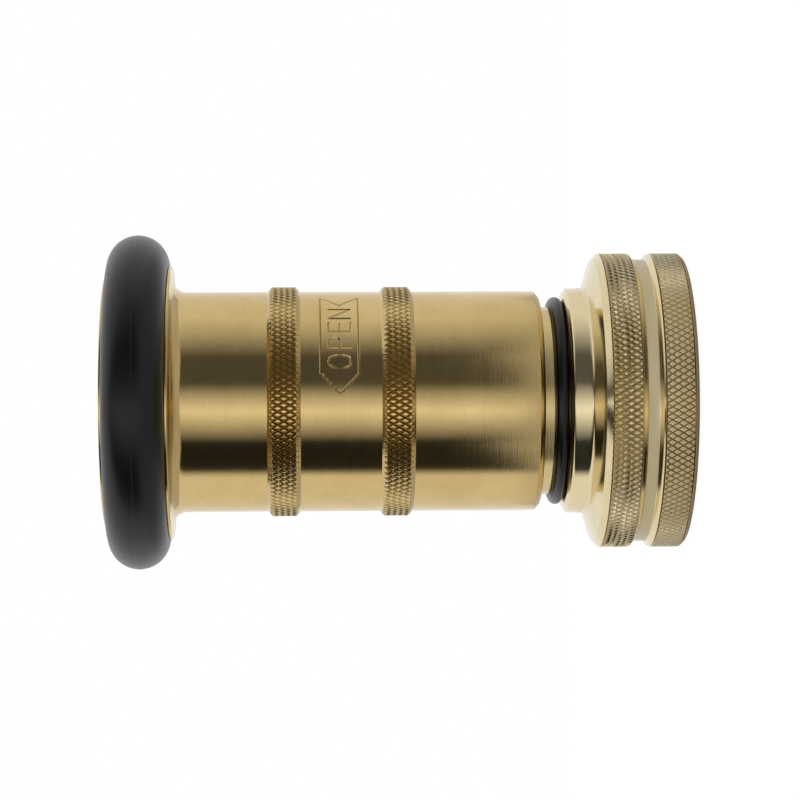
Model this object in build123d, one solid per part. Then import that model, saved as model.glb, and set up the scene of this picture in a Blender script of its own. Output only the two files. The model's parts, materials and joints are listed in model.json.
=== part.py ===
from build123d import *
import math
import os

# ---------------------------------------------------------------- radii (mm)
WATERWAY_R = 16.2        # inlet bore of the nozzle body
BODY_WALL = 4.67         # body wall behind the neck
HOSE_THREAD_R = 23.6     # hose thread, crest radius of the female thread
THREAD_DEPTH = 1.83      # hose thread, crest to root
COUPLING_WALL = 7.27     # hose thread root to knurled rim
HUB_WALL = 4.05          # coupling hub around the swivel bearing
SKIRT_WALL = 3.40        # barrel wall over the neck
FRONT_STEP = 1.2         # shoulder that the stem spider bears on
DRIVE_STEP = 0.77        # neck to operating thread
PISTON_STEP = 0.70       # operating thread to piston end of the body
ORIFICE_STEP = 1.0       # body front bore to barrel orifice
SEAT_LIP = 1.4           # wall of the shut-off lip
WASHER_LAP = 1.1         # seat washer beyond the lip
HEAD_LAP = 0.5           # baffle head beyond the seat washer
FOG_GAP = 1.6            # baffle head to bell bore
RETAINER_STEP = 1.8      # orifice to seat retainer
TOOTH_STEP = 0.8         # bell bore to tips of the fog teeth
TOOTH_HEIGHT = 1.6       # radial height of a fog tooth
TOOTH_RING_WALL = 2.0    # fog ring behind the teeth
BELL_WALL = 2.6          # barrel wall between fog ring and bumper
STEM_R = 4.5             # stem shank
STEM_THREAD_R = 3.5      # both threaded ends of the stem
SPIDER_HUB_R = 6.2       # hub of the stem spider
SPIDER_RIM = 2.1         # radial width of the spider rim

# --------------------------------------------------------------- lengths (mm)
THREAD_LEAD_IN = 1.6     # plain counterbore ahead of the hose thread
THREAD_LENGTH = 13.1     # hose thread
GASKET_THICK = 3.98      # hose gasket
RACE_OFFSET = 4.9        # gasket shoulder to ball race
HUB_LIP = 2.9            # ball race to hub front face
STOP_RING_OFFSET = 1.55  # hub front face to centre of the neck ring
SKIRT_LENGTH = 18.1      # barrel rear face to its operating thread
DRIVE_LENGTH = 10.0      # operating thread inside the barrel
DRIVE_GRIP = 6.7         # thread left engaged with the barrel forward
BACK_TRAVEL = 2.2        # rest position to wide fog
SHUT_TRAVEL = 9.8        # rest position to shut
RUN_OUT = 1.3            # room left beyond each end of the travel
PISTON_RING_OFFSET = 3.7 # piston ring ahead of the seal bore edge when shut
PISTON_NOSE = 5.0        # piston ring to body front face
ORIFICE_LAND = 6.0       # length of the orifice
LIP_HEIGHT = 4.0         # lip above the bell floor
SEAT_GAP = 0.3           # lip to seat washer at the end of the travel
RETAINER_THICK = 3.0
WASHER_THICK = 3.2
HEAD_THICK = 5.2
NOSE_RECESS = 3.3        # baffle head behind the barrel mouth at wide fog
STEM_STUB = 0.8          # stem end beyond the baffle head
SPIDER_RIM_LENGTH = 6.0
SPIDER_HUB_LENGTH = 10.0
VANE_THICK = 2.2
VANE_COUNT = 4

# ------------------------------------------------- outside of the coupling (mm)
COUPLING_EDGE = 0.8      # chamfer at the inlet face and beside the bands
REAR_BAND_LENGTH = 6.4
GROOVE_DEPTH = 1.35
GROOVE_LENGTH = 2.5
GROOVE_CHAMFER = 1.05
FRONT_BAND_LENGTH = 6.6
SHOULDER_CHAMFER = 1.3
SHOULDER_DROP = 2.0      # axial fall of the shoulder down to the hub
SHOULDER_ROUND = 1.2

# --------------------------------------------------- outside of the barrel (mm)
BARREL_EDGE = 1.1        # chamfer on the barrel rear edge
BAND_HEIGHT = 1.05       # knurled bands above the barrel
BAND_LENGTH = 5.3
BAND_RUN = 1.0           # sloped edge beside a band
REAR_BAND_FROM = 27.9    # barrel rear face to the rear band
FRONT_BAND_FROM = 52.6   # barrel rear face to the front band
FLARE_ROUND = 3.0        # fillet under the bumper flange
FLANGE_HEIGHT = 4.6      # bumper flange above the bumper seat
FLANGE_THICK = 0.75
NOSE_LIP_HEIGHT = 2.4    # thin lip ahead of the bumper
NOSE_LIP_THICK = 0.6
BUMPER_ROUND = 6.7       # radius of the bumper section
BUMPER_RISE = 4.75       # bumper seat to centre of its section

# ---------------------------------------------------------------- seals (mm)
STOP_RING_SECTION = 2.8
STOP_RING_GROOVE = 0.62  # depth of its groove in the neck
PISTON_RING_SECTION = 2.0
WIPER_SECTION = 1.7
WIPER_OFFSET = 3.6       # barrel rear face to the wiper ring

# ------------------------------------------------------- small hardware (mm)
BALL_D = 3.175
BALL_SPACE = 0.28
PLUG_R = 1.75
SNAP_RING_THICK = 1.2
SNAP_RING_DEPTH = 1.0
SNAP_RING_WIDTH = 1.8
LOCK_WASHER_THICK = 1.2
STEM_NUT_FLATS = 12.0
STEM_NUT_THICK = 6.0
HEAD_NUT_FLATS = 11.0
HEAD_NUT_THICK = 3.5
HEAD_NUT_SINK = 3.2      # depth of the recess in the baffle head
TOOTH_COUNT = 24
TOOTH_RING_LENGTH = 4.2
TOOTH_RING_SINK = 0.9    # fog ring behind the barrel mouth

# ------------------------------------------------------------- clearances (mm)
SEATED = 0.02            # seated face, per side
RUNNING = 0.08           # swivel and thread running fit, radial
SLIDING = 0.10           # barrel over neck and piston, radial
SEALING = 0.04           # sealing ring against the face it slides on
BALL_RUNNING = 0.05      # ball to race
GROOVE_SIDE = 0.15       # sealing ring to groove wall

# -------------------------------------------------------------- derived radii
neck_r = WATERWAY_R + BODY_WALL
drive_r = neck_r - DRIVE_STEP
piston_r = drive_r - PISTON_STEP
front_bore_r = WATERWAY_R - FRONT_STEP
hub_bore_r = neck_r + RUNNING
hub_r = hub_bore_r + HUB_WALL
race_r = neck_r + RUNNING / 2
ball_r = BALL_D / 2
race_section = ball_r + BALL_RUNNING
thread_root_r = HOSE_THREAD_R + THREAD_DEPTH
rim_r = thread_root_r + COUPLING_WALL
gasket_recess_r = thread_root_r + 0.67
gasket_in_r = WATERWAY_R + 1.3
skirt_bore_r = neck_r + SLIDING
barrel_r = skirt_bore_r + SKIRT_WALL
drive_bore_r = drive_r + RUNNING
relief_bore_r = skirt_bore_r
seal_bore_r = piston_r + SLIDING
orifice_r = front_bore_r - ORIFICE_STEP
lip_r = orifice_r + SEAT_LIP
retainer_r = orifice_r - RETAINER_STEP
washer_r = lip_r + WASHER_LAP
head_r = washer_r + HEAD_LAP
bell_r = head_r + FOG_GAP
tooth_tip_r = bell_r + TOOTH_STEP
tooth_root_r = tooth_tip_r + TOOTH_HEIGHT
fog_ring_r = tooth_root_r + TOOTH_RING_WALL
bumper_seat_r = fog_ring_r + BELL_WALL
flange_r = bumper_seat_r + FLANGE_HEIGHT
nose_lip_r = bumper_seat_r + NOSE_LIP_HEIGHT
stop_floor_r = neck_r - STOP_RING_GROOVE
stop_ring_r = stop_floor_r + SEATED + STOP_RING_SECTION / 2
piston_ring_r = seal_bore_r - SEALING - PISTON_RING_SECTION / 2
piston_floor_r = piston_ring_r - PISTON_RING_SECTION / 2 - SEATED
wiper_r = neck_r + SEALING + WIPER_SECTION / 2
wiper_floor_r = wiper_r + WIPER_SECTION / 2 + SEATED

# ------------------------------------------------- derived heights, inlet at 0
gasket_z = THREAD_LEAD_IN + THREAD_LENGTH
shoulder_z = gasket_z + GASKET_THICK + SEATED
tail_z = shoulder_z + SEATED
race_z = shoulder_z + RACE_OFFSET
hub_front_z = race_z + HUB_LIP
stop_ring_z = hub_front_z + STOP_RING_OFFSET
barrel_z = stop_ring_z + STOP_RING_SECTION / 2 + BACK_TRAVEL + 0.25
drive_z = barrel_z + SKIRT_LENGTH
body_drive_z = drive_z - BACK_TRAVEL - RUN_OUT
body_drive_end_z = drive_z + SHUT_TRAVEL + DRIVE_GRIP
seal_bore_z = body_drive_end_z + BACK_TRAVEL + 0.8
piston_ring_z = seal_bore_z + SHUT_TRAVEL + PISTON_RING_OFFSET
body_front_z = piston_ring_z + PISTON_NOSE
throat_z = body_front_z + BACK_TRAVEL + 1.8
orifice_z = throat_z + seal_bore_r - orifice_r
lip_z = orifice_z + ORIFICE_LAND
washer_z = lip_z + SHUT_TRAVEL + SEAT_GAP
retainer_z = washer_z - RETAINER_THICK
head_z = washer_z + WASHER_THICK
head_front_z = head_z + HEAD_THICK
mouth_z = head_front_z + BACK_TRAVEL + NOSE_RECESS
fog_ring_z = mouth_z - TOOTH_RING_SINK - TOOTH_RING_LENGTH
bumper_front_z = mouth_z - NOSE_LIP_THICK
bumper_z = bumper_front_z - BUMPER_ROUND - SEATED
bumper_back_z = bumper_z - BUMPER_ROUND - SEATED
wiper_z = barrel_z + WIPER_OFFSET
spider_shoulder_z = body_drive_end_z - 4.5
spider_rim_z = spider_shoulder_z - SPIDER_RIM_LENGTH
snap_ring_z = spider_rim_z - SNAP_RING_THICK - 2 * SEATED
spider_hub_z = spider_shoulder_z + 2.0 - SPIDER_HUB_LENGTH
stem_shoulder_z = spider_hub_z + SPIDER_HUB_LENGTH + SEATED
lock_washer_z = spider_hub_z - LOCK_WASHER_THICK - SEATED
stem_nut_z = lock_washer_z - STEM_NUT_THICK - SEATED


def corner(before, point, after, radius):
    """Start, middle and end of the arc that rounds a corner of an outline."""
    p = Vector(*point)
    a = (Vector(*before) - p).normalized()
    b = (Vector(*after) - p).normalized()
    half = math.acos(max(-1.0, min(1.0, a.dot(b)))) / 2
    inward = (a + b).normalized()
    centre = p + inward * (radius / math.sin(half))
    reach = radius / math.tan(half)
    return p + a * reach, centre - inward * radius, p + b * reach


def turned(points):
    """Ring or shaft about Z; each point is radius, height and an optional rounding."""
    flat = [(p[0], 0.0, p[1]) for p in points]
    count = len(points)
    stops = []
    for i, p in enumerate(points):
        if len(p) == 3:
            stops.append(corner(flat[i - 1], flat[i], flat[(i + 1) % count], p[2]))
        else:
            stops.append((Vector(*flat[i]),))
    edges = []
    for i, stop in enumerate(stops):
        if len(stop) == 3:
            edges.append(ThreePointArc(*stop))
        edges.append(Line(stop[-1], stops[(i + 1) % count][0]))
    return revolve(make_face(edges), Axis.Z)


def sealing_ring(radius, height, section):
    """Round-section ring about Z."""
    return Pos(0, 0, height) * Torus(radius, section / 2)


def hex_nut(flats, thick, bore, height):
    """Hexagon nut about Z with turned corners."""
    across = flats / math.sqrt(3)
    body = Pos(0, 0, height) * extrude(RegularPolygon(across, 6), thick)
    edge = across - flats / 2
    turn = turned([
        (bore, height), (flats / 2 - edge * 0.2, height), (across, height + edge * 0.7),
        (across, height + thick - edge * 0.7), (flats / 2 - edge * 0.2, height + thick),
        (bore, height + thick)])
    return body & turn


def swivel_coupling():
    rear_band = COUPLING_EDGE
    groove = rear_band + REAR_BAND_LENGTH + GROOVE_CHAMFER
    front_band = groove + GROOVE_LENGTH + GROOVE_CHAMFER
    band_end = front_band + FRONT_BAND_LENGTH
    shell = turned([
        (rim_r - COUPLING_EDGE, 0, 0.2), (rim_r, rear_band, 0.2),
        (rim_r, groove - GROOVE_CHAMFER, 0.15), (rim_r - GROOVE_DEPTH, groove, 0.15),
        (rim_r - GROOVE_DEPTH, groove + GROOVE_LENGTH, 0.15), (rim_r, front_band, 0.15),
        (rim_r, band_end, 0.2), (rim_r - SHOULDER_CHAMFER, band_end + SHOULDER_CHAMFER, 0.9),
        (hub_r, band_end + SHOULDER_CHAMFER + SHOULDER_DROP, SHOULDER_ROUND),
        (hub_r, hub_front_z - 0.8, 0.7), (hub_r - 1.6, hub_front_z, 0.5),
        (hub_bore_r + 0.3, hub_front_z), (hub_bore_r, hub_front_z - 0.3),
        (hub_bore_r, shoulder_z), (gasket_recess_r, shoulder_z),
        (gasket_recess_r, gasket_z), (thread_root_r, gasket_z),
        (thread_root_r, gasket_z - 0.8), (HOSE_THREAD_R, gasket_z - 0.8 - THREAD_DEPTH),
        (HOSE_THREAD_R, THREAD_LEAD_IN + THREAD_DEPTH), (thread_root_r, THREAD_LEAD_IN),
        (thread_root_r + 0.15, 0.4), (thread_root_r + 0.55, 0)])
    race = sealing_ring(race_r, race_z, 2 * race_section)
    fill = Pos(0, race_r, race_z) * Rot(-90, 0, 0) * Cylinder(
        PLUG_R + SEATED, hub_r, align=(Align.CENTER, Align.CENTER, Align.MIN))
    return shell - race - fill


def ball_fill_plug():
    start = race_r + race_section + 0.1
    length = hub_r - start - 0.1
    plug = Cylinder(PLUG_R, length, align=(Align.CENTER, Align.CENTER, Align.MIN))
    slot = Pos(0, 0, length) * Box(3 * PLUG_R, 0.6, 1.4)
    return Pos(0, start, race_z) * Rot(-90, 0, 0) * (plug - slot)


def swivel_balls():
    count = int(2 * math.pi * race_r / (BALL_D + BALL_SPACE))
    ball = Pos(race_r, 0, race_z) * Sphere(ball_r)
    return [Rot(0, 0, (i + 0.5) * 360 / count) * ball for i in range(count)]


def hose_gasket():
    outer = gasket_recess_r - 0.1
    top = gasket_z + GASKET_THICK
    base = gasket_z + SEATED
    return turned([
        (gasket_in_r, base, 0.4), (outer, base, 0.4), (outer, top, 0.4),
        (gasket_in_r, top, 0.4)])


def nozzle_body():
    half_stop = STOP_RING_SECTION / 2 + GROOVE_SIDE
    half_piston = PISTON_RING_SECTION / 2 + GROOVE_SIDE
    groove_r = WATERWAY_R + SNAP_RING_DEPTH
    snap_top = snap_ring_z + SNAP_RING_THICK + SEATED
    body = turned([
        (WATERWAY_R + 0.8, tail_z), (neck_r - 0.4, tail_z), (neck_r, tail_z + 0.4),
        (neck_r, stop_ring_z - half_stop, 0.2), (stop_floor_r, stop_ring_z - half_stop),
        (stop_floor_r, stop_ring_z + half_stop), (neck_r, stop_ring_z + half_stop, 0.2),
        (neck_r, body_drive_z, 0.4), (drive_r, body_drive_z), (drive_r, body_drive_end_z, 0.3),
        (piston_r, body_drive_end_z), (piston_r, piston_ring_z - half_piston),
        (piston_floor_r, piston_ring_z - half_piston),
        (piston_floor_r, piston_ring_z + half_piston),
        (piston_r, piston_ring_z + half_piston), (piston_r, body_front_z - 1.0),
        (piston_r - 0.5, body_front_z, 0.2), (front_bore_r + 1.0, body_front_z, 0.3),
        (front_bore_r, body_front_z - 1.5), (front_bore_r, spider_shoulder_z),
        (WATERWAY_R, spider_shoulder_z), (WATERWAY_R, snap_top), (groove_r, snap_top),
        (groove_r, snap_ring_z - SEATED), (WATERWAY_R, snap_ring_z - SEATED),
        (WATERWAY_R, tail_z + 0.8)])
    return body - sealing_ring(race_r, race_z, 2 * race_section)


def stem_spider():
    outer = WATERWAY_R - SEATED
    inner = outer - SPIDER_RIM
    top = spider_shoulder_z - SEATED
    base = top - SPIDER_RIM_LENGTH + SEATED
    rim = turned([
        (inner, base, 0.8), (outer, base), (outer, top), (inner, top, 0.8)])
    hub_top = spider_hub_z + SPIDER_HUB_LENGTH
    hub = turned([
        (STEM_THREAD_R + 0.05, spider_hub_z), (SPIDER_HUB_R - 0.8, spider_hub_z, 0.4),
        (SPIDER_HUB_R, spider_hub_z + 1.2, 0.4), (SPIDER_HUB_R, hub_top - 1.2, 0.4),
        (SPIDER_HUB_R - 0.8, hub_top, 0.4), (STEM_THREAD_R + 0.05, hub_top)])
    reach = inner + 0.6 - SPIDER_HUB_R + 0.8
    middle = (inner + 0.6 + SPIDER_HUB_R - 0.8) / 2
    blade = Rot(0, 90, 0) * extrude(
        RectangleRounded(SPIDER_RIM_LENGTH - 1.6, VANE_THICK, VANE_THICK * 0.45), reach / 2, both=True)
    vane = Pos(middle, 0, (base + top) / 2) * blade
    spider = rim + hub
    for i in range(VANE_COUNT):
        spider += Rot(0, 0, (i + 0.5) * 360 / VANE_COUNT) * vane
    return spider


def spider_snap_ring():
    outer = WATERWAY_R + SNAP_RING_DEPTH - SEATED - 0.02
    inner = outer - SNAP_RING_WIDTH
    ring = Pos(0, 0, snap_ring_z) * extrude(Circle(outer) - Circle(inner), SNAP_RING_THICK)
    gap = Pos(0, outer, snap_ring_z) * Box(
        8, 3 * SNAP_RING_WIDTH, 4 * SNAP_RING_THICK)
    ring -= gap
    for side in (-1, 1):
        angle = 90 + side * math.degrees(6.0 / outer)
        ear = Pos(inner - 0.3, 0, 0) * extrude(Circle(1.9) - Circle(0.8), SNAP_RING_THICK)
        limit = extrude(Circle(outer - 0.3), SNAP_RING_THICK)
        ring += Pos(0, 0, snap_ring_z) * ((Rot(0, 0, angle) * ear) & limit)
    return ring - gap


def stem():
    tip = head_front_z + STEM_STUB
    tail = stem_nut_z - 1.4
    return turned([
        (0, tail), (STEM_THREAD_R - 0.6, tail), (STEM_THREAD_R, tail + 0.6),
        (STEM_THREAD_R, stem_shoulder_z), (STEM_R + 1.0, stem_shoulder_z),
        (STEM_R + 1.0, stem_shoulder_z + 1.2), (STEM_R, stem_shoulder_z + 4.0, 2.0),
        (STEM_R, retainer_z - 4.0, 2.0), (STEM_R + 1.2, retainer_z - 1.5, 0.5),
        (STEM_R + 1.2, retainer_z), (STEM_THREAD_R, retainer_z),
        (STEM_THREAD_R, tip - 0.5), (STEM_THREAD_R - 0.5, tip), (0, tip)])


def stem_nut():
    return hex_nut(STEM_NUT_FLATS, STEM_NUT_THICK, STEM_THREAD_R + SEATED, stem_nut_z)


def stem_lock_washer():
    outer = SPIDER_HUB_R - 0.9
    inner = STEM_THREAD_R + 0.1
    ring = extrude(Circle(outer) - Circle(inner), LOCK_WASHER_THICK)
    split = Pos((outer + inner) / 2, 0, 0) * Rot(20, 0, 0) * Box(
        outer, 0.7, 6 * LOCK_WASHER_THICK)
    return Pos(0, 0, lock_washer_z) * (ring - split)


def seat_retainer():
    bore = STEM_THREAD_R + 0.05
    base = retainer_z + SEATED
    top = washer_z - SEATED
    return turned([
        (bore, base), (STEM_R + 1.6, base, 0.3), (retainer_r, top - 1.2, 0.4),
        (retainer_r, top), (bore, top)])


def seat_washer():
    bore = STEM_THREAD_R + 0.1
    top = head_z - SEATED
    return turned([
        (bore, washer_z), (washer_r, washer_z, 0.3), (washer_r, top, 0.3), (bore, top)])


def baffle_head():
    bore = STEM_THREAD_R + 0.05
    well_r = HEAD_NUT_FLATS / math.sqrt(3) + 1.6
    floor = head_front_z - HEAD_NUT_SINK
    return turned([
        (bore, head_z), (washer_r, head_z, 0.2), (head_r, head_z + 1.4, 0.3),
        (head_r, head_z + 2.6, 0.3), (head_r - 2.2, head_front_z, 0.6),
        (well_r + 0.6, head_front_z, 0.3), (well_r, floor, 0.4), (bore, floor)])


def head_nut():
    height = head_front_z - HEAD_NUT_SINK + SEATED
    return hex_nut(HEAD_NUT_FLATS, HEAD_NUT_THICK, STEM_THREAD_R + SEATED, height)


def stop_ring():
    return sealing_ring(stop_ring_r, stop_ring_z, STOP_RING_SECTION)


def piston_ring():
    return sealing_ring(piston_ring_r, piston_ring_z, PISTON_RING_SECTION)


def wiper_ring():
    return sealing_ring(wiper_r, wiper_z, WIPER_SECTION)


def knurl_band(start):
    """Outline points of one raised band on the barrel."""
    top = barrel_r + BAND_HEIGHT
    return [
        (barrel_r, start), (top, start + BAND_RUN, 0.15),
        (top, start + BAND_RUN + BAND_LENGTH, 0.15), (barrel_r, start + 2 * BAND_RUN + BAND_LENGTH)]


def barrel():
    half_wiper = WIPER_SECTION / 2 + GROOVE_SIDE
    flange_back = bumper_back_z - FLANGE_THICK
    drive_end = drive_z + DRIVE_LENGTH
    floor_z = lip_z - LIP_HEIGHT
    outside = [
        (barrel_r - BARREL_EDGE, barrel_z, 0.2), (barrel_r, barrel_z + BARREL_EDGE, 0.3)]
    outside += knurl_band(barrel_z + REAR_BAND_FROM)
    outside += knurl_band(barrel_z + FRONT_BAND_FROM)
    outside += [
        (barrel_r, flange_back, FLARE_ROUND), (flange_r, flange_back + 0.15, 0.3),
        (flange_r, bumper_back_z, 0.2), (bumper_seat_r, bumper_back_z),
        (bumper_seat_r, bumper_front_z), (nose_lip_r, bumper_front_z, 0.15),
        (nose_lip_r, mouth_z, 0.25)]
    inside = [
        (fog_ring_r + 0.7, mouth_z, 0.2), (fog_ring_r, mouth_z - 0.7),
        (fog_ring_r, fog_ring_z), (tooth_root_r - 0.3, fog_ring_z),
        (bell_r, fog_ring_z - 2.2, 0.8), (bell_r, floor_z, 0.6), (lip_r + 0.6, floor_z, 0.6),
        (lip_r, lip_z, 0.2), (orifice_r, lip_z, 0.3), (orifice_r, orifice_z, 2.0),
        (seal_bore_r, throat_z, 0.5), (seal_bore_r, seal_bore_z + 1.2, 0.5),
        (relief_bore_r, seal_bore_z), (relief_bore_r, drive_end + 0.6),
        (drive_bore_r, drive_end), (drive_bore_r, drive_z + 0.6), (skirt_bore_r, drive_z),
        (skirt_bore_r, wiper_z + half_wiper), (wiper_floor_r, wiper_z + half_wiper),
        (wiper_floor_r, wiper_z - half_wiper), (skirt_bore_r, wiper_z - half_wiper),
        (skirt_bore_r, barrel_z + 0.6), (skirt_bore_r + 0.6, barrel_z)]
    return turned(outside + inside)


def bumper():
    """Rubber ring: flat sides and floor in its seat, half-round outside."""
    centre_r = bumper_seat_r + BUMPER_RISE
    low = bumper_z - BUMPER_ROUND
    high = bumper_z + BUMPER_ROUND
    floor = bumper_seat_r + SEATED
    outer = ThreePointArc(
        (centre_r, 0, low), (centre_r + BUMPER_ROUND, 0, bumper_z), (centre_r, 0, high))
    sides = Polyline(
        (centre_r, 0, high), (floor, 0, high), (floor, 0, low), (centre_r, 0, low))
    return revolve(make_face([outer, *sides.edges()]), Axis.Z)


def fog_teeth_ring():
    outer = fog_ring_r - SEATED
    base = fog_ring_z + SEATED
    step = 2 * math.pi / TOOTH_COUNT
    points = []
    for i in range(TOOTH_COUNT):
        for radius, part in ((tooth_root_r, 0.0), (tooth_root_r, 0.42),
                             (tooth_tip_r, 0.60), (tooth_tip_r, 0.82)):
            angle = (i + part) * step
            points.append((radius * math.cos(angle), radius * math.sin(angle)))
    bore = make_face(Polyline(*points, close=True).edges())
    return Pos(0, 0, base) * extrude(Circle(outer) - bore, TOOTH_RING_LENGTH - SEATED)


def save(name, solids):
    shape = solids if not isinstance(solids, list) else Compound(children=solids)
    shape.label = name
    export_step(shape, os.path.join("parts", name + ".step"))


os.makedirs("parts", exist_ok=True)
save("swivel_coupling", swivel_coupling())
save("ball_fill_plug", ball_fill_plug())
save("swivel_balls", swivel_balls())
save("hose_gasket", hose_gasket())
save("nozzle_body", nozzle_body())
save("neck_stop_ring", stop_ring())
save("piston_ring", piston_ring())
save("stem_spider", stem_spider())
save("spider_snap_ring", spider_snap_ring())
save("stem", stem())
save("stem_nut", stem_nut())
save("stem_lock_washer", stem_lock_washer())
save("seat_retainer", seat_retainer())
save("seat_washer", seat_washer())
save("baffle_head", baffle_head())
save("head_nut", head_nut())
save("barrel", barrel())
save("barrel_wiper_ring", wiper_ring())
save("bumper", bumper())
save("fog_teeth_ring", fog_teeth_ring())
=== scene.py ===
"""Fire hose nozzle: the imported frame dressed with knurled, engraved and threaded surfaces."""

import json
import logging
import math
from dataclasses import dataclass, field
from enum import Enum

import bpy
import numpy as np
from mathutils import Matrix, Vector


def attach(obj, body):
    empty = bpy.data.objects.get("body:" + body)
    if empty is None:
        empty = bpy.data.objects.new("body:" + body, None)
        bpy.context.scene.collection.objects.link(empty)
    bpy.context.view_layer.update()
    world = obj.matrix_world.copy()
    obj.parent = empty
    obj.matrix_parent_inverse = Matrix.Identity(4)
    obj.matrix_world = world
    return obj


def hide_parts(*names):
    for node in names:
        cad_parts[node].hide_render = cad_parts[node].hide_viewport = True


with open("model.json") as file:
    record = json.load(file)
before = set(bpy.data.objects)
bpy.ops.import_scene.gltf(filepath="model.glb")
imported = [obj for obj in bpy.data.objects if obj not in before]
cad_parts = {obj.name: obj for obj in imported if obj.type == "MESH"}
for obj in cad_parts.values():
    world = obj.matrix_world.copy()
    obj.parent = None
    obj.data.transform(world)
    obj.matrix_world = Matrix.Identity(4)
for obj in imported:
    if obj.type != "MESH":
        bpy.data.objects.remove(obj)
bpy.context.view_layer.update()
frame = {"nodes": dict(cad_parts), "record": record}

LOG = logging.getLogger("nozzle")
MM = 0.001
SHARP_DEGREES = 24       # edges that turn more than this stay crisp
ARC_STEPS = 5            # parts of each rounded corner in a section


class Lay(Enum):
    """How the turning marks of a finish lie."""

    TURNED = "turned"
    MOULDED = "moulded"


class Signal:
    """A shader socket that adds Math nodes when it is used in an expression."""

    def __init__(self, tree: bpy.types.NodeTree, socket: bpy.types.NodeSocket) -> None:
        """Wrap a socket.

        Args:
            tree: Node tree that the socket is in.
            socket: Output socket that carries the value.
        """
        self.tree = tree
        self.socket = socket

    def _math(self, operation: str, first: object, second: object) -> "Signal":
        """Add one Math node.

        Args:
            operation: Name of the Math operation.
            first: First value, a number or a Signal.
            second: Second value.

        Returns:
            The node's output.
        """
        return node(self.tree, "ShaderNodeMath", {"operation": operation}, {0: first, 1: second})

    def __add__(self, other: object) -> "Signal":
        """Return the sum."""
        return self._math("ADD", self, other)

    def __sub__(self, other: object) -> "Signal":
        """Return the difference."""
        return self._math("SUBTRACT", self, other)

    def __rsub__(self, other: object) -> "Signal":
        """Return the difference from a number."""
        return self._math("SUBTRACT", other, self)

    def __mul__(self, other: object) -> "Signal":
        """Return the product."""
        return self._math("MULTIPLY", self, other)

    def arctan2(self, other: object) -> "Signal":
        """Return the angle whose tangent is this value over another, in radians."""
        return self._math("ARCTAN2", self, other)

    __radd__ = __add__


def node(tree: bpy.types.NodeTree, kind: str, settings: dict, values: dict, out: int = 0) -> Signal:
    """Add a shader node.

    Args:
        tree: Node tree to add to.
        kind: Node type.
        settings: Node properties, set first; "stops" holds a ramp's positions and colours.
        values: Socket name or number to a value or a Signal.
        out: Number of the output that is wanted.

    Returns:
        The chosen output.
    """
    made = tree.nodes.new(kind)
    for name, value in settings.items():
        if name == "stops":
            ramp = made.color_ramp.elements
            ramp.remove(ramp[1])
            ramp[0].position = value[0][0]
            ramp[0].color = (*value[0][1], 1.0)
            for place, colour in value[1:]:
                ramp.new(place).color = (*colour, 1.0)
        else:
            setattr(made, name, value)
    for name, value in values.items():
        socket = made.inputs[name]
        if isinstance(value, Signal):
            tree.links.new(value.socket, socket)
        else:
            socket.default_value = value
    return Signal(tree, made.outputs[out])


@dataclass(frozen=True)
class Finish:
    """A surface finish.

    The colour drifts between a base and a shade on a soft noise, fine marks go into the
    roughness and the bump, and the low parts of a relief get painted shade, a darker colour,
    where the mesh has one.
    """

    name: str
    colour: tuple[float, float, float]
    shade: tuple[float, float, float]
    # colour of the painted shade at the bottom of a groove
    groove_shade_colour: tuple[float, float, float]
    metallic: float
    roughness: float
    spread: float
    lay: Lay
    marks: float
    bump: float
    # share of painted shade that darkens the grooves
    groove_shade_share: float = 0.22
    specular: float = 0.5

    def build(self) -> bpy.types.Material:
        """Make the material.

        Returns:
            The finished material.
        """
        material = bpy.data.materials.new(self.name)
        material.use_nodes = True
        tree = material.node_tree
        shader = next(n for n in tree.nodes if n.type == "BSDF_PRINCIPLED")
        place = node(tree, "ShaderNodeTexCoord", {}, {}, 3)
        drift = node(tree, "ShaderNodeTexNoise", {}, {
            "Vector": place, "Scale": 90.0, "Detail": 4.0, "Roughness": 0.6})
        stretch = (60.0, 60.0, self.marks) if self.lay is Lay.TURNED else (self.marks,) * 3
        grain_place = node(tree, "ShaderNodeVectorMath", {"operation": "MULTIPLY"}, {
            0: place, 1: stretch})
        grain = node(tree, "ShaderNodeTexNoise", {}, {
            "Vector": grain_place, "Scale": 1.0, "Detail": 3.0, "Roughness": 0.65})
        speck = node(tree, "ShaderNodeTexNoise", {}, {
            "Vector": place, "Scale": 900.0, "Detail": 2.0, "Roughness": 0.7})
        relief = node(tree, "ShaderNodeAttribute", {"attribute_name": "relief"}, {}, 2)
        tone = node(tree, "ShaderNodeMapRange", {}, {
            "Value": drift * 0.6 + grain * 0.25 + speck * 0.15, 1: 0.38, 2: 0.62})
        body = node(tree, "ShaderNodeMix", {"data_type": "RGBA"}, {
            0: tone, 6: (*self.shade, 1.0), 7: (*self.colour, 1.0)}, 2)
        # painted shade: the grooves of a relief are mixed towards a dark colour
        colour = node(tree, "ShaderNodeMix", {"data_type": "RGBA"}, {
            0: relief * self.groove_shade_share, 6: body, 7: (*self.groove_shade_colour, 1.0)}, 2)
        rough = self.roughness + (grain - 0.5) * self.spread + (speck - 0.5) * self.spread * 0.5
        height = grain + speck * 0.35
        normal = node(tree, "ShaderNodeBump", {}, {
            "Strength": self.bump, "Distance": 0.00004, "Height": height})
        tree.links.new(colour.socket, shader.inputs["Base Color"])
        tree.links.new((rough + relief * 0.15).socket, shader.inputs["Roughness"])
        tree.links.new(normal.socket, shader.inputs["Normal"])
        shader.inputs["Metallic"].default_value = self.metallic
        shader.inputs["Specular IOR Level"].default_value = self.specular
        return material


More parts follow.
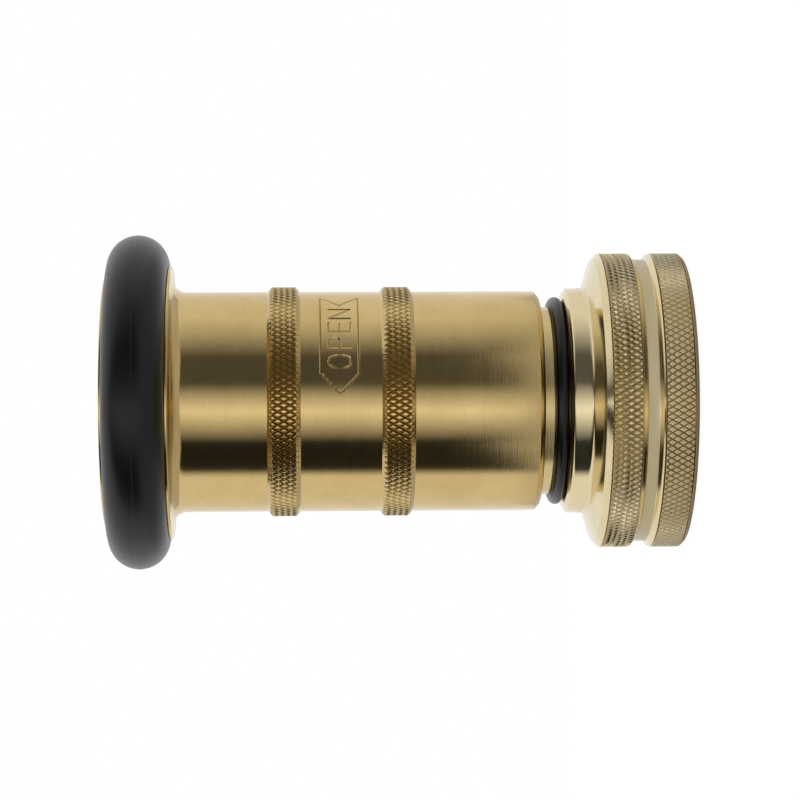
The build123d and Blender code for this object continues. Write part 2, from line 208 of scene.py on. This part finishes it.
FINISHES = {
    "brass_barrel": Finish(
        "satin_turned_brass", (0.66, 0.49, 0.22), (0.58, 0.42, 0.17), (0.16, 0.10, 0.03),
        1.0, 0.14, 0.08, Lay.TURNED, 5200.0, 0.15),
    "brass_coupling": Finish(
        "polished_turned_brass", (0.78, 0.66, 0.41), (0.71, 0.59, 0.34), (0.20, 0.14, 0.06),
        1.0, 0.12, 0.08, Lay.TURNED, 3800.0, 0.08),
    "brass_body": Finish(
        "machined_neck_brass", (0.70, 0.56, 0.28), (0.60, 0.46, 0.21), (0.16, 0.10, 0.03),
        1.0, 0.20, 0.12, Lay.TURNED, 4600.0, 0.25),
    "brass_internal": Finish(
        "machined_inner_brass", (0.64, 0.50, 0.25), (0.52, 0.39, 0.18), (0.16, 0.10, 0.03),
        1.0, 0.28, 0.14, Lay.TURNED, 3000.0, 0.3),
    "steel_hardware": Finish(
        "stainless_hardware", (0.60, 0.60, 0.60), (0.50, 0.50, 0.51), (0.2, 0.2, 0.2),
        1.0, 0.28, 0.12, Lay.MOULDED, 2600.0, 0.25),
    "rubber_seal": Finish(
        "seal_rubber", (0.0045, 0.0045, 0.005), (0.003, 0.003, 0.0035), (0.002, 0.002, 0.002),
        0.0, 0.30, 0.10, Lay.MOULDED, 2200.0, 0.15, 0.35, 0.4),
    "rubber_bumper": Finish(
        "bumper_rubber", (0.0045, 0.005, 0.0065), (0.003, 0.0035, 0.0045), (0.002, 0.002, 0.003),
        0.0, 0.33, 0.10, Lay.MOULDED, 1500.0, 0.2, 0.35, 0.35),
}


def round_grid(
    name: str,
    radius: np.ndarray,
    height: np.ndarray,
    angle: np.ndarray,
    relief: np.ndarray | None = None,
) -> bpy.types.Object:
    """Make a closed ring from a grid that closes on itself both ways.

    A vertex stands at (radius sin a, -radius cos a, height) mm for its angle a about the axis.
    Each square is split along the diagonal whose ends differ least in radius, so a groove
    that crosses the grid at a slant keeps a clean edge.

    Args:
        name: Name of the piece.
        radius: Rows by columns of radii in mm, rows running round the section.
        height: Height of each row in mm, or rows by columns of heights.
        angle: Angle of each column in radians, increasing.
        relief: Rows by columns of 0 on the surface to 1 at the bottom of a groove.

    Returns:
        The mesh object, with outward faces.
    """
    rows, columns = radius.shape
    tall = np.broadcast_to(height.reshape(rows, -1), radius.shape)
    points = np.stack([radius * np.sin(angle), -radius * np.cos(angle), tall], axis=-1) * MM
    index = np.arange(rows * columns).reshape(rows, columns)
    a, b = index, np.roll(index, -1, axis=1)
    d, c = np.roll(index, -1, axis=0), np.roll(np.roll(index, -1, axis=0), -1, axis=1)
    r = radius.ravel()
    main = (np.abs(r[a] - r[c]) <= np.abs(r[b] - r[d]))[..., None]
    one = np.where(main, np.stack([a, b, c], -1), np.stack([a, b, d], -1)).reshape(-1, 3)
    two = np.where(main, np.stack([a, c, d], -1), np.stack([b, c, d], -1)).reshape(-1, 3)
    faces = np.concatenate([one, two])
    flat = points.reshape(-1, 3)
    corners = flat[faces]
    volume = np.einsum("ij,ij->i", corners[:, 0], np.cross(corners[:, 1], corners[:, 2])).sum()
    if volume < 0:
        faces = faces[:, ::-1]
    mesh = bpy.data.meshes.new(name)
    mesh.vertices.add(len(flat))
    mesh.vertices.foreach_set("co", flat.ravel())
    mesh.loops.add(faces.size)
    mesh.loops.foreach_set("vertex_index", faces.ravel().astype(np.int32))
    mesh.polygons.add(len(faces))
    mesh.polygons.foreach_set("loop_start", np.arange(0, faces.size, 3, dtype=np.int32))
    mesh.update(calc_edges=True)
    mesh.shade_smooth()
    mesh.set_sharp_from_angle(angle=math.radians(SHARP_DEGREES))
    layer = mesh.attributes.new("relief", "FLOAT", "POINT")
    layer.data.foreach_set("value", np.zeros(len(flat)) if relief is None else relief.ravel())
    piece = bpy.data.objects.new(name, mesh)
    bpy.context.scene.collection.objects.link(piece)
    return piece


def rounded(points: list[tuple[float, ...]]) -> np.ndarray:
    """Round the corners of a closed section.

    A corner with a third value is replaced by points on the arc of that radius that is
    tangent to both of its sides.

    Args:
        points: Radius, height and an optional corner radius, in mm, in order.

    Returns:
        Radius and height of each point, one row a point.
    """
    out: list[np.ndarray] = []
    count = len(points)
    for i, point in enumerate(points):
        here = np.array(point[:2])
        if len(point) == 2:
            out.append(here)
            continue
        back = np.array(points[i - 1][:2]) - here
        ahead = np.array(points[(i + 1) % count][:2]) - here
        back, ahead = back / np.linalg.norm(back), ahead / np.linalg.norm(ahead)
        half = math.acos(float(np.clip(back @ ahead, -1, 1))) / 2
        middle = (back + ahead) / np.linalg.norm(back + ahead)
        centre = here + middle * point[2] / math.sin(half)
        start = here + back * point[2] / math.tan(half) - centre
        end = here + ahead * point[2] / math.tan(half) - centre
        first, last = math.atan2(start[1], start[0]), math.atan2(end[1], end[0])
        turn = (last - first + math.pi) % (2 * math.pi) - math.pi
        for k in range(ARC_STEPS + 1):
            a = first + turn * k / ARC_STEPS
            out.append(centre + point[2] * np.array([math.cos(a), math.sin(a)]))
    return np.array(out)


def circle(count: int) -> np.ndarray:
    """Return count equal angles round the axis, in radians."""
    return np.arange(count) * 2 * math.pi / count


def turned(name: str, points: list[tuple[float, ...]], count: int) -> bpy.types.Object:
    """Make a closed ring by turning a section round the axis.

    Args:
        name: Name of the piece.
        points: Section, as rounded() takes it.
        count: Columns round the axis.

    Returns:
        The closed ring.
    """
    section = rounded(points)
    radius = np.repeat(section[:, :1], count, axis=1)
    return round_grid(name, radius, section[:, 1], circle(count))


@dataclass(frozen=True)
class Knurl:
    """A diamond-knurled band; sizes in mm, the depth and width of a groove at either end.

    Two families of V grooves cross. With u the diamonds counted round the band and v the
    diamonds counted along it, the grooves lie where u + v or u - v is a whole number, and
    the surface drops by the depth times one minus the distance over half the groove width.
    The sloped edges of the band cut the diamonds off.
    """

    name: str
    top: float
    foot: float
    start: float
    run_in: float
    length: float
    run_out: float
    around: int
    pitch: float
    depth: float
    width: float
    depth_end: float
    width_end: float

    def build(self) -> bpy.types.Object:
        """Make the band.

        Returns:
            The closed ring.
        """
        fine = 8  # grid steps across one diamond, either way
        flat = np.arange(0.0, self.length, self.pitch / fine)
        along = np.concatenate([[-self.run_in], [-self.run_in / 2], flat, [self.length],
                                [self.length + self.run_out / 2], [self.length + self.run_out]])
        angle = circle(self.around * fine)
        u = angle * self.around / (2 * math.pi)
        v = (along / self.pitch)[:, None]
        share = np.clip(along / self.length, 0, 1)[:, None]
        depth = self.depth + (self.depth_end - self.depth) * share
        width = self.width + (self.width_end - self.width) * share
        cut = np.zeros((len(along), len(angle)))
        for way in (1, -1):
            s = u[None, :] + way * v
            cut = np.maximum(cut, np.clip(1 - 2 * np.abs(s - np.round(s)) / width, 0, 1))
        slope_in = self.top + (along / self.run_in) * (self.top - self.foot)
        slope_out = self.top - (along - self.length) / self.run_out * (self.top - self.foot)
        edge = np.minimum(np.minimum(slope_in, slope_out), self.top)[:, None]
        outer = np.minimum(edge, self.top - depth * cut)
        outer = np.maximum(outer, self.foot - 0.02)
        inner = np.full((1, len(angle)), self.foot - 0.6)
        radius = np.concatenate([inner, outer, inner])
        tall = self.start + np.concatenate([[along[0]], along, [along[-1]]])
        mark = np.clip(cut * (edge > self.foot + 0.1), 0, 1) ** 1.5
        empty = np.zeros((1, len(angle)))
        return round_grid(self.name, radius, tall, angle, np.concatenate([empty, mark, empty]))


@dataclass
class Assembly:
    """A sub-assembly that rides on one body.

    The materials are the finished ones, by the slot of the record that they dress.
    """

    materials: dict[str, bpy.types.Material]
    body: str

    def dress(self, piece: bpy.types.Object, slot: str, *nodes: str) -> None:
        """Give a piece its finish, its body and the nodes that it stands for.

        Args:
            piece: The finished piece.
            slot: Material slot of the record.
            nodes: CAD nodes that the piece replaces.
        """
        piece.data.materials.clear()
        piece.data.materials.append(self.materials[slot])
        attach(piece, self.body)
        if nodes:
            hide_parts(*nodes)
        LOG.info("piece %s: %d faces on %s", piece.name, len(piece.data.polygons), self.body)


@dataclass
class Coupling(Assembly):
    """Swivel coupling: shell with a helical hose thread and two knurled bands."""

    body: str = "coupling"
    rim: float = 32.70
    hub: float = 25.0
    hub_bore: float = 20.95
    floor: float = 31.35
    band_foot: float = 32.0
    crest: float = 23.6
    root: float = 25.43
    recess: float = 26.1
    thread_pitch: float = 2.822
    thread_start: float = 1.6
    gasket: float = 14.7
    shoulder: float = 18.7
    front: float = 26.5
    columns: int = 240

    def shell(self) -> bpy.types.Object:
        """Make the shell.

        Inside, the radius goes from the crest to the root on a triangle wave of the height
        over the pitch less the turn, faded at both ends of the thread.

        Returns:
            The closed shell.
        """
        low = self.rim - 0.62
        section = rounded([
            (self.hub_bore, self.shoulder), (self.hub_bore, self.front - 0.3),
            (self.hub_bore + 0.3, self.front), (self.hub - 1.6, self.front, 0.5),
            (self.hub, self.front - 0.8, 0.7), (self.hub, 21.75, 1.2), (31.4, 19.75, 0.9),
            (self.rim, 18.45), (low, 18.42), (low, 11.95), (self.rim - 0.05, 11.93, 0.02),
            (self.floor, 10.75, 0.15), (self.floor, 8.25, 0.15), (self.rim - 0.05, 7.25, 0.02),
            (low, 7.2), (low, 0.82), (self.rim - 0.02, 0.8, 0.02), (self.rim - 0.8, 0.0, 0.2),
            (self.root + 0.55, 0.0), (self.root + 0.15, 0.4), (self.root, self.thread_start)])
        rows = np.linspace(self.thread_start + 0.02, self.gasket - 0.02, 66)
        angle = circle(self.columns)
        phase = rows[:, None] / self.thread_pitch - angle[None, :] / (2 * math.pi)
        wave = np.abs(2 * (phase - np.floor(phase)) - 1)
        shape = np.clip((wave - 0.12) / 0.76, 0, 1)
        lead = np.clip((rows - self.thread_start) / 1.8, 0, 1)[:, None]
        run = np.clip((self.gasket - rows) / 1.2, 0, 1)[:, None]
        deep = np.maximum(shape, 1 - np.minimum(lead, run))
        inner = self.crest + (self.root - self.crest) * deep
        tail = np.array([[self.root, self.gasket], [self.recess, self.gasket],
                         [self.recess, self.shoulder]])
        radius = np.concatenate([
            np.repeat(section[:, :1], self.columns, axis=1), inner,
            np.repeat(tail[:, :1], self.columns, axis=1)])
        tall = np.concatenate([section[:, 1], rows, tail[:, 1]])
        return round_grid("coupling_shell", radius, tall, angle)

    def build(self) -> None:
        """Make the shell and its bands."""
        self.dress(self.shell(), "brass_coupling", "swivel_coupling")
        shared = {"top": self.rim, "foot": self.band_foot, "run_out": 0.25, "around": 146,
                  "pitch": 2.39}
        bands = (
            Knurl(name="coupling_rear_knurl", start=1.05, run_in=0.25, length=5.9, depth=0.30,
                  width=0.27, depth_end=0.30, width_end=0.27, **shared),
            Knurl(name="coupling_front_knurl", start=12.15, run_in=0.2, length=6.0, depth=0.34,
                  width=0.36, depth_end=0.52, width_end=0.75, **shared))
        for band in bands:
            self.dress(band.build(), "brass_coupling")


@dataclass
class Arrow:
    """Engraved OPEN arrow; x runs round the barrel from its tip and y along the axis, in mm."""

    radius: float = 24.37
    middle: float = 76.1
    half_width: float = 4.1
    tip: float = 3.8
    neck: float = 14.3
    notch: float = 58.9
    tail: float = 68.1
    cap: float = 2.4
    line: float = 0.24
    depth: float = 0.22

    def letters(self) -> list[tuple[list[tuple[float, float]], bool]]:
        """Return the strokes of the word as points of degrees and mm, and whether each closes."""
        c = self.cap
        bowl = [(27.7, -c), (27.7, c), (32.6, c), (34.2, 0.8 * c), (34.6, 0.5 * c),
                (34.2, 0.2 * c), (32.6, 0.0), (27.7, 0.0)]
        ring = [(20.65 + 3.45 * math.copysign(abs(math.cos(t)) ** 0.75, math.cos(t)),
                 c * math.copysign(abs(math.sin(t)) ** 0.75, math.sin(t)))
                for t in np.linspace(0, 2 * math.pi, 24, endpoint=False)]
        return [
            (ring, True), (bowl, False),
            ([(44.4, c), (38.4, c), (38.4, -c), (44.4, -c)], False),
            ([(38.4, 0.0), (43.4, 0.0)], False),
            ([(47.5, -c), (47.5, c), (55.2, -c), (55.2, c)], False)]

    def outline(self) -> list[tuple[float, float]]:
        """Return the corners of the arrow."""
        w = self.half_width
        return [(self.tip, 0.0), (self.neck, w), (self.tail, w), (self.notch, 0.0),
                (self.tail, -w), (self.neck, -w)]

    def cut(self, angle: np.ndarray, height: np.ndarray) -> np.ndarray:
        """Give the share of the full depth at each point of a grid.

        It is one on a stroke and falls evenly to nothing half a line width away.

        Args:
            angle: Angle of each column in radians.
            height: Height of each row in mm.

        Returns:
            Rows by columns of shares.
        """
        x = (angle * self.radius)[None, :]
        y = (height - self.middle)[:, None]
        near = np.full((len(height), len(angle)), 9.0)
        scale = math.radians(self.radius)
        for points, closed in [(self.outline(), True), *self.letters()]:
            ends = points[1:] + points[:1] if closed else points[1:]
            for (ax, ay), (bx, by) in zip(points, ends):
                ax, bx = ax * scale, bx * scale
                span = (bx - ax) ** 2 + (by - ay) ** 2
                t = np.clip(((x - ax) * (bx - ax) + (y - ay) * (by - ay)) / span, 0, 1)
                near = np.minimum(near, np.hypot(x - ax - t * (bx - ax), y - ay - t * (by - ay)))
        return np.clip(1 - near / self.line, 0, 1)


@dataclass
class Barrel(Assembly):
    """Twist barrel: shell, two knurled bands and the engraved stretch between them."""

    body: str = "barrel"
    outside: float = 24.37
    band_top: float = 25.42
    rear: float = 31.9
    mouth: float = 127.5
    seat: float = 25.6
    stretch: tuple[float, float] = (66.9, 84.85)
    knurl_depth: float = 0.50
    knurl_width: float = 0.52
    arrow: Arrow = field(default_factory=Arrow)

    def shell(self) -> bpy.types.Object:
        """Make the shell, with the bores that the CAD barrel has."""
        low = self.outside - 0.5
        return turned("barrel_shell", [
            (self.outside - 1.1, self.rear, 0.2), (self.outside, self.rear + 1.1, 0.3),
            (self.outside, 59.85), (low, 59.9), (low, 91.7), (self.outside, 91.75),
            (self.outside, 112.63, 3.0), (30.2, 112.78, 0.3), (30.2, 113.5, 0.2),
            (self.seat, 113.5), (self.seat, 126.9), (28.0, 126.9, 0.15), (28.0, 127.5, 0.25),
            (23.7, 127.5, 0.2), (23.0, 126.8), (23.0, 122.4), (20.7, 122.4), (18.6, 120.2, 0.8),
            (18.6, 99.5, 0.6), (16.0, 99.5, 0.6), (15.4, 103.5, 0.2), (14.0, 103.5, 0.3),
            (14.0, 97.5, 2.0), (19.5, 92.0, 0.5), (19.5, 70.7, 0.5), (20.97, 69.5),
            (20.97, 60.6), (20.18, 60.0), (20.18, 50.6), (20.97, 50.0), (20.97, 36.5),
            (22.63, 36.5), (22.63, 34.5), (20.97, 34.5), (20.97, 32.5), (21.57, self.rear)], 288)

    def marked_stretch(self) -> bpy.types.Object:
        """Make the ring that carries the arrow, finely divided only round it."""
        mark = self.arrow
        first, last = math.radians(mark.tip - 2), math.radians(mark.tail + 2)
        fine = np.linspace(first, last, 300)
        rest = np.linspace(last, first + 2 * math.pi, 220)[1:-1]
        angle = np.concatenate([fine, rest])
        rows = np.linspace(mark.middle - 4.6, mark.middle + 4.6, 92)
        low, high = self.stretch
        share = mark.cut(angle, rows)
        plain = np.zeros((1, len(angle)))
        share = np.concatenate([plain, share, plain])
        outer = self.outside - mark.depth * share
        inner = np.full((1, len(angle)), self.outside - 0.7)
        radius = np.concatenate([inner, outer, inner])
        relief = np.concatenate([plain, share, plain])
        height = np.concatenate([[low, low], rows, [high, high]])
        return round_grid("barrel_open_arrow", radius, height, angle, relief)

    def build(self) -> None:
        """Make the shell, bands and engraving."""
        self.dress(self.shell(), "brass_barrel", "barrel")
        self.dress(self.marked_stretch(), "brass_barrel")
        for name, start in (("barrel_rear_knurl", 60.85), ("barrel_front_knurl", 85.55)):
            band = Knurl(
                name=name, top=self.band_top, foot=self.outside, start=start, run_in=1.0,
                length=5.2, run_out=1.0, around=114, pitch=2.6, depth=self.knurl_depth,
                width=self.knurl_width, depth_end=self.knurl_depth, width_end=self.knurl_width)
            self.dress(band.build(), "brass_barrel")


@dataclass
class Bumper(Assembly):
    """Rubber bumper with a thin parting line round its middle."""

    body: str = "barrel"
    centre: float = 30.35
    middle: float = 120.18
    round: float = 6.7
    seat: float = 25.62
    line_height: float = 0.07
    line_width: float = 0.18

    def build(self) -> None:
        """Make the ring: a half-round outside, flat sides, and a bell-shaped ridge at mid-height."""
        sweep = np.concatenate([
            np.linspace(-90, -6, 22), np.linspace(-5, 5, 31), np.linspace(6, 90, 22)])
        a = np.radians(sweep)
        size = self.round - self.line_height - 0.01
        tall = self.middle + self.round * np.sin(a) - 0.005 * np.sin(a)
        ridge = self.line_height * np.exp(-((tall - self.middle) / self.line_width) ** 2)
        out = self.centre + size * np.cos(a) + ridge
        radius = np.concatenate([[self.seat], out, [self.seat]])
        height = np.concatenate([[tall[0]], tall, [tall[-1]]])
        count = 224
        grid = np.repeat(radius[:, None], count, axis=1)
        self.dress(round_grid("bumper_ring", grid, height, circle(count)), "rubber_bumper", "bumper")


@dataclass
class Studio:
    """Floor, world light and camera."""

    distance: float = 0.612
    height: float = 0.0858
    aim: float = 0.0624
    rise: float = 0.00027
    roll: float = -0.27
    lens: float = 123.8
    floor_side: float = 0.5
    floor_drop: float = 0.0003
    floor_glow: float = 1.12
    floor_share: float = 0.85

    def world(self) -> None:
        """Light the object by direction: white at the sides, dark bands, a soft light ahead."""
        world = bpy.data.worlds.new("studio")
        bpy.context.scene.world = world
        world.use_nodes = True
        tree = world.node_tree
        tree.nodes.clear()
        place = node(tree, "ShaderNodeTexCoord", {}, {}, 0)
        split = tree.nodes.new("ShaderNodeSeparateXYZ")
        tree.links.new(place.socket, split.inputs[0])
        across, ahead = Signal(tree, split.outputs[0]), Signal(tree, split.outputs[1])
        turn = across.arctan2(0.0 - ahead) * (0.5 / math.pi) + 0.5
        tones = ((-180, 0.95), (-84, 0.95), (-75, 0.02), (-42, 0.02), (-28, 0.55), (-10, 1.2),
                 (6, 0.6), (18, 0.10), (48, 0.10), (74, 0.60), (96, 0.90), (180, 0.95))
        stops = [((angle + 180) / 360, (tone, tone, tone)) for angle, tone in tones]
        ramp = node(tree, "ShaderNodeValToRGB", {"stops": stops}, {"Fac": turn})
        light = node(tree, "ShaderNodeBackground", {}, {"Color": ramp, "Strength": 1.0})
        white = node(tree, "ShaderNodeBackground", {}, {"Color": (1, 1, 1, 1), "Strength": 1.0})
        camera_ray = node(tree, "ShaderNodeLightPath", {}, {}, 0)
        both = node(tree, "ShaderNodeMixShader", {}, {0: camera_ray, 1: light, 2: white})
        out = tree.nodes.new("ShaderNodeOutputWorld")
        tree.links.new(both.socket, out.inputs[0])

    def floor(self) -> None:
        """Make the pale floor under the inlet face."""
        bpy.ops.mesh.primitive_plane_add(size=self.floor_side, location=(0, 0, -self.floor_drop))
        plane = bpy.context.object
        plane.name = "floor"
        material = bpy.data.materials.new("pale_floor")
        material.use_nodes = True
        tree = material.node_tree
        tree.nodes.clear()
        seen = node(tree, "ShaderNodeLightPath", {}, {}, 0)
        matt = node(tree, "ShaderNodeBsdfDiffuse", {}, {"Color": (0.9, 0.9, 0.9, 1)})
        glow = node(tree, "ShaderNodeEmission", {}, {"Color": (1, 1, 1, 1), "Strength": self.floor_glow})
        both = node(tree, "ShaderNodeMixShader", {}, {0: seen * self.floor_share, 1: matt, 2: glow})
        out = tree.nodes.new("ShaderNodeOutputMaterial")
        tree.links.new(both.socket, out.inputs[0])
        plane.data.materials.append(material)

    def camera(self) -> None:
        """Place the camera level with the axis, the mouth to the left."""
        data = bpy.data.cameras.new("camera")
        data.lens = self.lens
        data.clip_start = 0.01
        eye = bpy.data.objects.new("camera", data)
        bpy.context.scene.collection.objects.link(eye)
        place = Vector((self.rise, -self.distance, self.height))
        look = (Vector((self.rise, 0, self.aim)) - place).normalized()
        right = look.cross(Vector((1, 0, 0))).normalized()
        up = right.cross(look)
        tilt = Matrix.Rotation(math.radians(self.roll), 3, "Z")
        turn = Matrix((right, up, -look)).transposed() @ tilt
        eye.matrix_world = Matrix.Translation(place) @ turn.to_4x4()
        bpy.context.scene.camera = eye

    def build(self) -> None:
        """Set up the stage."""
        bpy.context.scene.view_settings.view_transform = "Standard"
        self.world()
        self.floor()
        self.camera()


def dress_frame(materials: dict[str, bpy.types.Material]) -> None:
    """Give every CAD node the finish of its slot.

    Args:
        materials: Finished materials by slot.
    """
    for entry in frame["record"]["subparts"]:
        piece = frame["nodes"][entry["node"]]
        piece.data.materials.clear()
        piece.data.materials.append(materials[entry["material_slot"]])
        LOG.info("node %s: %s", entry["node"], entry["material_slot"])


def main() -> None:
    """Build every part of the scene in order."""
    materials = {slot: finish.build() for slot, finish in FINISHES.items()}
    dress_frame(materials)
    for part in (Coupling(materials), Barrel(materials), Bumper(materials)):
        part.build()
    Studio().build()


if __name__ == "__main__":
    logging.basicConfig(level=logging.INFO, format="%(message)s")
    main()
